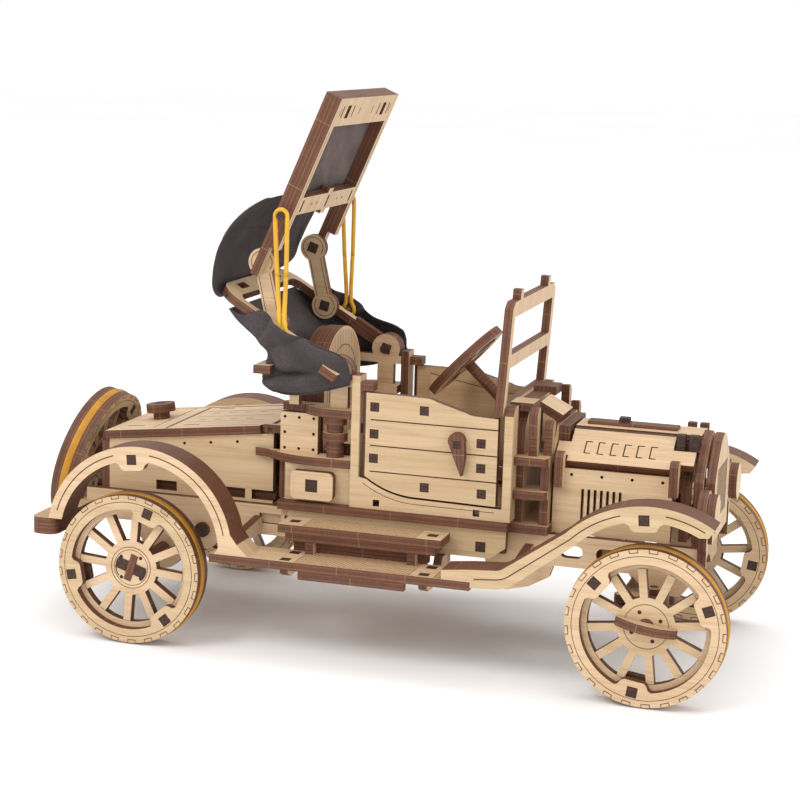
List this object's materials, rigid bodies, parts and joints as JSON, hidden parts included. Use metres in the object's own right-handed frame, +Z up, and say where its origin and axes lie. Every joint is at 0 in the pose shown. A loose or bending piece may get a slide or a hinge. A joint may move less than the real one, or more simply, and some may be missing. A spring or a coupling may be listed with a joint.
{
  "type": "wooden model car",
  "caption": "Slot-together plywood model of a vintage open tourer with steered spoked wheels, hinged doors, hood and luggage lid, and a cloth roof on a folding frame.",
  "frame": {"origin": "centre of the bounding box at ground level", "axes": "+X towards the front of the car, +Y to its left, +Z up"},
  "size_m": [0.2892, 0.1296, 0.216],
  "materials": {
    "birch_ply": "bare laser-cut birch plywood",
    "birch_ply_inner": "bare laser-cut birch plywood",
    "burnt_edge": "laser-burnt end grain",
    "ochre_rubber": "matt latex band",
    "charcoal_cloth": "fine felted weave"
  },
  "bodies": {
    "chassis": {"frame_rails": "birch_ply", "cross_members": "birch_ply_inner", "floor_plate": "birch_ply_inner", "side_sills": "birch_ply", "running_boards": "birch_ply", "step_boards": "birch_ply", "board_brackets": "birch_ply_inner", "rear_fender_right": "birch_ply", "rear_fender_left": "birch_ply", "front_fender_right": "birch_ply", "front_fender_left": "birch_ply", "bumper": "birch_ply_inner", "trunk_sides": "birch_ply", "trunk_back": "birch_ply", "trunk_strip": "birch_ply", "corner_shelves": "birch_ply", "corner_stacks": "birch_ply_inner", "body_posts": "birch_ply", "hinge_rods": "burnt_edge", "seat_base": "birch_ply", "seat_back": "birch_ply", "top_rails": "birch_ply", "firewall": "birch_ply", "dashboard": "birch_ply", "cowl_posts": "birch_ply_inner", "windshield": "birch_ply", "hood_spine": "birch_ply", "hood_sides": "birch_ply", "radiator": "birch_ply", "headlamps": "birch_ply", "engine_block": "birch_ply_inner", "front_axle": "birch_ply_inner", "motor_band": "ochre_rubber", "spare_wheel": "birch_ply", "spare_tyre": "ochre_rubber"},
    "rear_axle": {"rear_wheels": "birch_ply", "rear_tyres": "ochre_rubber", "rear_axle": "burnt_edge"},
    "motor_shaft": {"motor_shaft": "burnt_edge"},
    "knuckle_right": {"knuckle_right": "burnt_edge"},
    "knuckle_left": {"knuckle_left": "burnt_edge"},
    "front_wheel_right": {"front_wheel_right": "birch_ply", "front_tyre_right": "ochre_rubber"},
    "front_wheel_left": {"front_wheel_left": "birch_ply", "front_tyre_left": "ochre_rubber"},
    "tie_rod": {"tie_rod": "birch_ply"},
    "steering_wheel": {"steering_wheel": "birch_ply"},
    "door_right": {"door_right": "birch_ply"},
    "door_left": {"door_left": "birch_ply"},
    "hood_right": {"hood_panel_right": "birch_ply"},
    "hood_left": {"hood_panel_left": "birch_ply"},
    "trunk_lid": {"trunk_lid": "birch_ply"},
    "stop_slider": {"stop_slider": "birch_ply"},
    "roof_bow": {"roof_bow": "birch_ply", "roof_drape": "charcoal_cloth"},
    "roof_links": {"roof_links": "birch_ply", "roof_bands": "ochre_rubber", "roof_curtain": "charcoal_cloth"},
    "roof_frame": {"roof_frame": "birch_ply", "roof_window": "charcoal_cloth"}
  },
  "joints": [
    {"name": "rear_axle_spin", "type": "hinge", "parent": "chassis", "child": "rear_axle", "pos_m": [-0.08848, 0, 0.03], "axis": [0, 1, 0], "continuous": true},
    {"name": "motor_spin", "type": "hinge", "parent": "chassis", "child": "motor_shaft", "pos_m": [-0.07134, 0, 0.0399], "axis": [0, 1, 0], "continuous": true},
    {"name": "steer_right", "type": "hinge", "parent": "chassis", "child": "knuckle_right", "pos_m": [0.11462, -0.046, 0.03], "axis": [0, 0, 1], "range_deg": [-22, 22]},
    {"name": "steer_left", "type": "hinge", "parent": "chassis", "child": "knuckle_left", "pos_m": [0.11462, 0.046, 0.03], "axis": [0, 0, 1], "range_deg": [-22, 22]},
    {"name": "tie_rod_slide", "type": "slide", "parent": "chassis", "child": "tie_rod", "axis": [0, -1, 0], "range_m": [-0.0046, 0.0046]},
    {"name": "steering_wheel_turn", "type": "hinge", "parent": "chassis", "child": "steering_wheel", "pos_m": [0.02552, 0.009, 0.1104], "axis": [-0.7266, 0, 0.6871], "range_deg": [-66.5, 66.5]},
    {"name": "front_right_spin", "type": "hinge", "parent": "knuckle_right", "child": "front_wheel_right", "pos_m": [0.11462, -0.058, 0.03], "axis": [0, 1, 0], "continuous": true},
    {"name": "front_left_spin", "type": "hinge", "parent": "knuckle_left", "child": "front_wheel_left", "pos_m": [0.11462, 0.058, 0.03], "axis": [0, 1, 0], "continuous": true},
    {"name": "door_right_swing", "type": "hinge", "parent": "chassis", "child": "door_right", "pos_m": [-0.00143, -0.03415, 0.086], "axis": [0, 0, -1], "range_deg": [0, 65]},
    {"name": "door_left_swing", "type": "hinge", "parent": "chassis", "child": "door_left", "pos_m": [-0.00143, 0.03415, 0.086], "axis": [0, 0, 1], "range_deg": [0, 65]},
    {"name": "hood_right_lift", "type": "hinge", "parent": "chassis", "child": "hood_right", "pos_m": [0.09952, -0.0099, 0.0894], "axis": [-1, 0, 0], "range_deg": [0, 95]},
    {"name": "hood_left_lift", "type": "hinge", "parent": "chassis", "child": "hood_left", "pos_m": [0.09952, 0.0099, 0.0894], "axis": [1, 0, 0], "range_deg": [0, 95]},
    {"name": "trunk_lid_lift", "type": "hinge", "parent": "chassis", "child": "trunk_lid", "pos_m": [-0.04428, 0, 0.0828], "axis": [0, -1, 0], "range_deg": [-55, 0]},
    {"name": "stop_slide", "type": "slide", "parent": "chassis", "child": "stop_slider", "axis": [1, 0, 0], "range_m": [0, 0.005]},
    {"name": "roof_bow_fold", "type": "hinge", "parent": "chassis", "child": "roof_bow", "pos_m": [-0.01398, 0, 0.1095], "axis": [0, -1, 0], "range_deg": [0, 16], "deforming": ["roof_drape"]},
    {"name": "roof_link_fold", "type": "hinge", "parent": "roof_bow", "child": "roof_links", "pos_m": [-0.04133, 0, 0.12554], "axis": [0, -1, 0], "range_deg": [-62, 17], "deforming": ["roof_curtain"]},
    {"name": "roof_frame_fold", "type": "hinge", "parent": "roof_links", "child": "roof_frame", "pos_m": [-0.04686, 0, 0.14951], "axis": [0, -1, 0], "range_deg": [0, 77], "deforming": ["roof_bands"]}
  ],
  "couplings": [
    {"joint": "motor_spin", "follows": "rear_axle_spin", "ratio": -0.85714},
    {"joint": "steer_left", "follows": "steer_right", "ratio": 1},
    {"joint": "tie_rod_slide", "follows": "steer_right", "m_per_rad": 0.01171},
    {"joint": "steering_wheel_turn", "follows": "steer_right", "ratio": 3}
  ]
}
